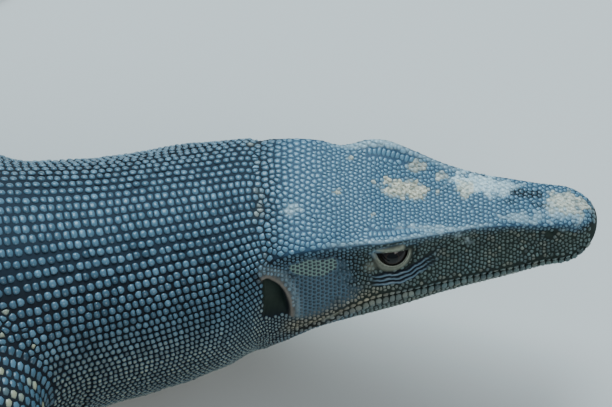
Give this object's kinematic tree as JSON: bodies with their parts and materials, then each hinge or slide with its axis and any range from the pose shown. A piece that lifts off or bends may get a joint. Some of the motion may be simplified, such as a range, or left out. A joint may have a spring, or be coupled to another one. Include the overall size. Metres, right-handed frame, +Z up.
{
  "type": "water monitor lizard model",
  "caption": "Life-size still model of a water monitor lizard at rest on its belly, head low and level, limbs sprawled, tail in a long S.",
  "frame": {"origin": "on the floor, under the middle of the bounding box of the whole animal", "axes": "+X towards the head, +Y towards the animal's left side, +Z up"},
  "size_m": [1.642, 0.4758, 0.106],
  "materials": {
    "skin": "wet, dark blue-grey scaly skin",
    "claw": "smooth dark horn",
    "eye": "wet, dark brown"
  },
  "bodies": {
    "root": {"claw_front_left_1": "claw", "claw_front_left_2": "claw", "claw_front_left_3": "claw", "claw_front_left_4": "claw", "claw_front_left_5": "claw", "claw_front_right_1": "claw", "claw_front_right_2": "claw", "claw_front_right_3": "claw", "claw_front_right_4": "claw", "claw_front_right_5": "claw", "claw_hind_left_1": "claw", "claw_hind_left_2": "claw", "claw_hind_left_3": "claw", "claw_hind_left_4": "claw", "claw_hind_left_5": "claw", "claw_hind_right_1": "claw", "claw_hind_right_2": "claw", "claw_hind_right_3": "claw", "claw_hind_right_4": "claw", "claw_hind_right_5": "claw", "eye_left": "eye", "eye_right": "eye", "foot_front_left": "skin", "foot_front_right": "skin", "foot_hind_left": "skin", "foot_hind_right": "skin", "head": "skin", "leg_front_left_lower": "skin", "leg_front_left_upper": "skin", "leg_front_right_lower": "skin", "leg_front_right_upper": "skin", "leg_hind_left_lower": "skin", "leg_hind_left_upper": "skin", "leg_hind_right_lower": "skin", "leg_hind_right_upper": "skin", "neck": "skin", "tail_1": "skin", "tail_2": "skin", "tail_3": "skin", "tail_4": "skin", "torso": "skin"}
  },
  "joints": []
}
